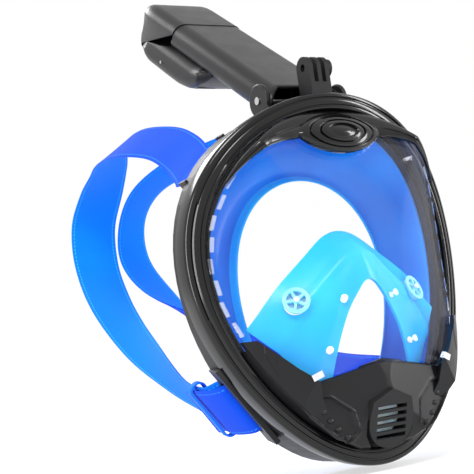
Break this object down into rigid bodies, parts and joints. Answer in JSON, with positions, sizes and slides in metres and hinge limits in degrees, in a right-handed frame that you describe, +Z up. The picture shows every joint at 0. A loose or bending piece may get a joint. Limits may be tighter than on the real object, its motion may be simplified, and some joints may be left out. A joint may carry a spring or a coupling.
{
  "type": "full face snorkel",
  "caption": "Full face diving mask with clear window, silicone skirt, folding dry-top snorkel, chin drain valve, three-prong camera mount and elastic head strap.",
  "frame": {"origin": "centre of the plane where the silicone skirt seals on the face", "axes": "+X to the wearer's left, -Y the way the wearer looks, +Z up the face"},
  "size_m": [0.2086, 0.4024, 0.3627],
  "materials": {
    "gloss_black": "gloss",
    "satin_grey": "satin",
    "clear_lens": "clear polished",
    "black_rubber": "matt",
    "blue_silicone": "satin",
    "azure_silicone": "satin",
    "satin_black": "satin",
    "clear_silicone": "translucent",
    "matte_black": "matt",
    "steel": "brushed",
    "snorkel_grey": "satin",
    "float_white": "matt",
    "blue_webbing": "woven",
    "clip_silver": "gloss",
    "clear_button": "clear"
  },
  "bodies": {
    "mask": {"front_bezel": "gloss_black", "rear_frame": "satin_grey", "lens": "clear_lens", "lens_gasket": "black_rubber", "face_skirt": "blue_silicone", "nose_pocket": "azure_silicone", "pocket_valve_seat_left": "azure_silicone", "pocket_valve_seat_right": "azure_silicone", "pocket_rivet_upper_left": "clear_button", "pocket_rivet_upper_right": "clear_button", "pocket_rivet_lower_left": "clear_button", "pocket_rivet_lower_right": "clear_button", "frame_screw_1": "steel", "frame_screw_2": "steel", "frame_screw_3": "steel", "frame_screw_4": "steel", "frame_screw_5": "steel", "frame_screw_6": "steel", "chin_housing": "satin_black", "chin_cover": "satin_black", "chin_vent_cap": "satin_black", "purge_valve_seat": "satin_black", "chin_clip_left": "clip_silver", "chin_clip_right": "clip_silver", "brow_cover": "gloss_black", "brow_boss": "gloss_black", "camera_mount": "matte_black", "camera_nut": "steel", "snorkel_base": "snorkel_grey", "hinge_pin": "steel", "barrel_seal": "black_rubber", "head_strap_left": "blue_webbing", "head_strap_right": "blue_webbing"},
    "snorkel": {"snorkel_tube": "snorkel_grey", "tube_divider": "snorkel_grey", "snorkel_cap": "snorkel_grey", "inlet_cover": "snorkel_grey", "float_pin": "steel"},
    "float": {"cap_float": "float_white", "float_seal": "black_rubber"},
    "purge_flap": {"purge_valve_flap": "clear_silicone"},
    "inhale_flap_left": {"pocket_valve_flap_left": "clear_silicone"},
    "inhale_flap_right": {"pocket_valve_flap_right": "clear_silicone"},
    "keeper_left": {"strap_keeper_left": "blue_webbing"},
    "keeper_right": {"strap_keeper_right": "blue_webbing"}
  },
  "joints": [
    {"name": "snorkel_fold", "type": "hinge", "parent": "mask", "child": "snorkel", "pos_m": [0, -0.024, 0.114], "axis": [1, 0, 0], "range_deg": [-18, 52]},
    {"name": "float_swing", "type": "hinge", "parent": "snorkel", "child": "float", "pos_m": [0, 0.11146, 0.18275], "axis": [1, 0, 0], "range_deg": [-3, 18]},
    {"name": "purge_flap_lift", "type": "slide", "parent": "mask", "child": "purge_flap", "axis": [0, -0.9432, -0.3322], "range_m": [0, 0.0016], "stiffness_N_per_m": 15},
    {"name": "inhale_flap_left_lift", "type": "slide", "parent": "mask", "child": "inhale_flap_left", "axis": [-0.3971, 0.8517, -0.342], "range_m": [0, 0.001], "stiffness_N_per_m": 10},
    {"name": "inhale_flap_right_lift", "type": "slide", "parent": "mask", "child": "inhale_flap_right", "axis": [0.3971, 0.8517, -0.342], "range_m": [0, 0.001], "stiffness_N_per_m": 10},
    {"name": "keeper_left_slide", "type": "slide", "parent": "mask", "child": "keeper_left", "axis": [-0.1501, 0.9806, 0.1261], "range_m": [-0.003, 0.002]},
    {"name": "keeper_right_slide", "type": "slide", "parent": "mask", "child": "keeper_right", "axis": [0.1501, 0.9806, 0.1261], "range_m": [-0.003, 0.002]}
  ]
}
